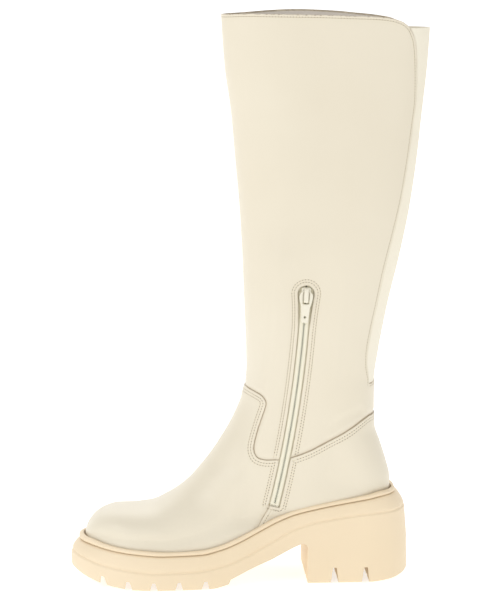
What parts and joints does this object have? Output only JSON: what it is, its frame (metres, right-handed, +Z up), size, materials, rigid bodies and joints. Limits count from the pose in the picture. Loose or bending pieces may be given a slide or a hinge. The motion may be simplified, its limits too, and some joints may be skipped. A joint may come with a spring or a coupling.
{
  "type": "knee-high zip boot",
  "caption": "Right knee-high boot with a lugged block-heel sole, an inner-side zip with a hinged pull, and an elastic gore up the back of the shaft.",
  "frame": {"origin": "middle of the bounding box, on the ground under the sole", "axes": "toe towards -X, inner (medial) side with the zip towards -Y, +Z up along the shaft"},
  "size_m": [0.2972, 0.1094, 0.4717],
  "materials": {
    "upper_leather": "smooth finished leather, fine grain, low sheen",
    "gore_elastic": "woven elastic, matt",
    "lining_textile": "short-pile textile lining",
    "fibre_board": "pressed fibre board",
    "core_plastic": "moulded plastic",
    "zip_tape": "woven polyester tape",
    "zip_coil": "nylon coil, satin",
    "zip_metal": "cream enamel on cast zinc",
    "sole_rubber": "moulded rubber, matt",
    "footbed_fabric": "padded textile sock",
    "filler_foam": "cork and foam filler",
    "shank_steel": "plain steel"
  },
  "bodies": {
    "boot": {"vamp": "upper_leather", "quarter_medial": "upper_leather", "quarter_lateral": "upper_leather", "shaft_medial": "upper_leather", "shaft_lateral": "upper_leather", "gore": "gore_elastic", "lining_shaft": "lining_textile", "lining_foot": "lining_textile", "zip_guard": "lining_textile", "toe_puff": "fibre_board", "heel_counter": "fibre_board", "insole_board": "fibre_board", "heel_core": "core_plastic", "zip_tape_front": "zip_tape", "zip_tape_rear": "zip_tape", "zip_coil_front": "zip_coil", "zip_coil_rear": "zip_coil", "zip_top_stop_front": "zip_metal", "zip_top_stop_rear": "zip_metal", "zip_bottom_stop": "zip_metal", "welt": "sole_rubber", "sole_unit": "sole_rubber", "footbed": "footbed_fabric", "forefoot_filler": "filler_foam", "shank": "shank_steel", "shank_rivet_front": "shank_steel", "shank_rivet_rear": "shank_steel", "heel_screw_1": "shank_steel", "heel_screw_2": "shank_steel", "heel_screw_3": "shank_steel", "heel_screw_4": "shank_steel", "heel_screw_5": "shank_steel"},
    "zip_slider": {"zip_slider": "zip_metal"},
    "zip_pull": {"zip_pull": "zip_metal"}
  },
  "joints": [
    {"name": "zip_slide", "type": "hinge", "parent": "boot", "child": "zip_slider", "pos_m": [-0.90367, -0.03975, 0.28777], "axis": [0, 0.9996, 0.0296], "range_deg": [0, 9.4]},
    {"name": "pull_swing", "type": "hinge", "parent": "zip_slider", "child": "zip_pull", "pos_m": [0.04545, -0.04049, 0.24695], "axis": [-0.9991, -0.0013, 0.0429], "range_deg": [0, 170]}
  ]
}
